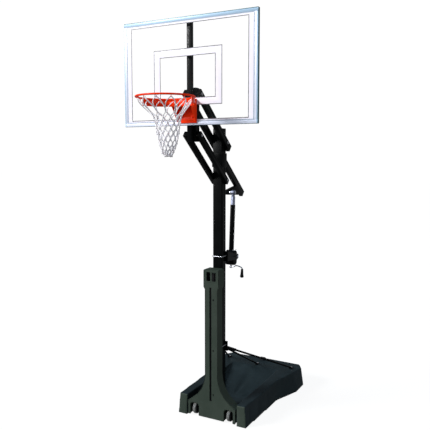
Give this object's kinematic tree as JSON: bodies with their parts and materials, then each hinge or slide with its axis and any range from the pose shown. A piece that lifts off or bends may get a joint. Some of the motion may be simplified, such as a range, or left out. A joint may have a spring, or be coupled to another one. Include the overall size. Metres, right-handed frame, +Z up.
{
  "type": "portable basketball hoop",
  "caption": "Portable basketball hoop: clear framed board and rim on a crank-raised parallelogram lift, square post and wheeled ballast base.",
  "frame": {"origin": "on the floor, on the centre line of the square post", "axes": "+X to the right seen from the court, +Y from the rim to the rear of the base, +Z up"},
  "size_m": [1.3208, 2.3455, 3.7424],
  "materials": {
    "black_steel": "satin black powder coat",
    "tank_plastic": "matt moulded polyethylene",
    "guard_plastic": "matt moulded polyethylene",
    "zinc_steel": "zinc plated",
    "bronze": "machined bronze",
    "nylon": "moulded nylon",
    "rail_aluminium": "satin anodised",
    "acrylic": "clear polished sheet with white painted bands",
    "seal_rubber": "black gasket",
    "rim_paint": "gloss orange-red powder coat",
    "net_cord": "white knotted cord",
    "tyre_rubber": "black rubber",
    "wheel_plastic": "pale moulded hub",
    "grip_plastic": "black moulded grip",
    "sand": "dry sand ballast"
  },
  "bodies": {
    "base": {"base_tank": "tank_plastic", "ballast_fill": "sand", "wheel_axles": "zinc_steel", "wheel_forks": "black_steel", "post_guard": "guard_plastic", "guard_stand_offs": "black_steel", "post": "black_steel", "post_cap": "grip_plastic", "post_foot_plate": "black_steel", "post_collar": "black_steel", "brace_left": "black_steel", "brace_centre": "black_steel", "brace_right": "black_steel", "brace_clamp": "black_steel", "u_bolts": "zinc_steel", "post_pivot_bolts": "zinc_steel", "frame_fasteners": "zinc_steel", "lift_bracket": "black_steel"},
    "actuator": {"gear_housing": "black_steel", "housing_screws": "zinc_steel", "thrust_bearing": "zinc_steel", "lift_outer_tube": "black_steel", "lift_guide_sleeve": "zinc_steel"},
    "upper_arms": {"upper_arm_left": "black_steel", "upper_arm_right": "black_steel", "upper_arm_bushes": "nylon", "tail_lug": "black_steel"},
    "lower_arms": {"lower_arm_left": "black_steel", "lower_arm_right": "black_steel", "lower_arm_bushes": "nylon"},
    "board": {"frame_rail_top": "rail_aluminium", "frame_rail_bottom": "rail_aluminium", "frame_rail_left": "rail_aluminium", "frame_rail_right": "rail_aluminium", "clear_panel": "acrylic", "panel_gasket": "seal_rubber", "board_mast": "black_steel", "pivot_tube": "black_steel", "board_pivot_bolts": "zinc_steel", "board_fasteners": "zinc_steel", "rim_backing_plate": "black_steel", "rim_bolts": "zinc_steel", "rim_plate": "rim_paint", "rim_bracket": "rim_paint", "ring": "rim_paint", "ring_brace": "rim_paint", "net_hooks": "rim_paint", "net": "net_cord"},
    "lift_rod": {"lift_rod": "zinc_steel", "lift_nut": "bronze", "lift_eye_bolt": "zinc_steel"},
    "crank": {"lift_screw": "zinc_steel", "crank_arm": "zinc_steel"},
    "crank_grip": {"crank_grip": "grip_plastic"},
    "wheel_left": {"wheel_left": "wheel_plastic", "tyre_left": "tyre_rubber"},
    "wheel_right": {"wheel_right": "wheel_plastic", "tyre_right": "tyre_rubber"},
    "filler_cap": {"filler_cap": "tank_plastic"}
  },
  "joints": [
    {"name": "arm_lift", "type": "hinge", "parent": "base", "child": "upper_arms", "pos_m": [0, 0, 2.69], "axis": [1, 0, 0], "range_deg": [0, 57.8]},
    {"name": "lower_arm_swing", "type": "hinge", "parent": "base", "child": "lower_arms", "pos_m": [0, 0, 2.337], "axis": [1, 0, 0], "range_deg": [0, 57.8]},
    {"name": "board_level", "type": "hinge", "parent": "upper_arms", "child": "board", "pos_m": [0, -0.495, 3.09805], "axis": [1, 0, 0], "range_deg": [-57.8, 0]},
    {"name": "actuator_swing", "type": "hinge", "parent": "base", "child": "actuator", "pos_m": [0, 0.255, 1.56], "axis": [1, 0, 0], "range_deg": [-11.85, 0]},
    {"name": "lift_rod_slide", "type": "slide", "parent": "actuator", "child": "lift_rod", "axis": [0, 0.0702, 0.9975], "range_m": [0, 0.52556]},
    {"name": "crank_turn", "type": "hinge", "parent": "actuator", "child": "crank", "pos_m": [0, 0.255, 1.56], "axis": [0, 0.0702, 0.9975], "continuous": true},
    {"name": "grip_spin", "type": "hinge", "parent": "crank", "child": "crank_grip", "pos_m": [0.128, 0.24728, 1.45027], "axis": [0, 0.0702, 0.9975], "continuous": true},
    {"name": "wheel_left_roll", "type": "hinge", "parent": "base", "child": "wheel_left", "pos_m": [-0.187, -0.122, 0.074], "axis": [1, 0, 0], "continuous": true},
    {"name": "wheel_right_roll", "type": "hinge", "parent": "base", "child": "wheel_right", "pos_m": [0.187, -0.122, 0.074], "axis": [1, 0, 0], "continuous": true},
    {"name": "filler_cap_turn", "type": "hinge", "parent": "base", "child": "filler_cap", "pos_m": [0, 1.085, 0.2], "axis": [0, 0, 1], "range_deg": [0, 270]}
  ],
  "couplings": [
    {"joint": "lower_arm_swing", "follows": "arm_lift", "ratio": 1},
    {"joint": "board_level", "follows": "arm_lift", "ratio": -1},
    {"joint": "actuator_swing", "follows": "arm_lift", "ratio": -0.20495},
    {"joint": "lift_rod_slide", "follows": "arm_lift", "m_per_rad": 0.52097}
  ]
}
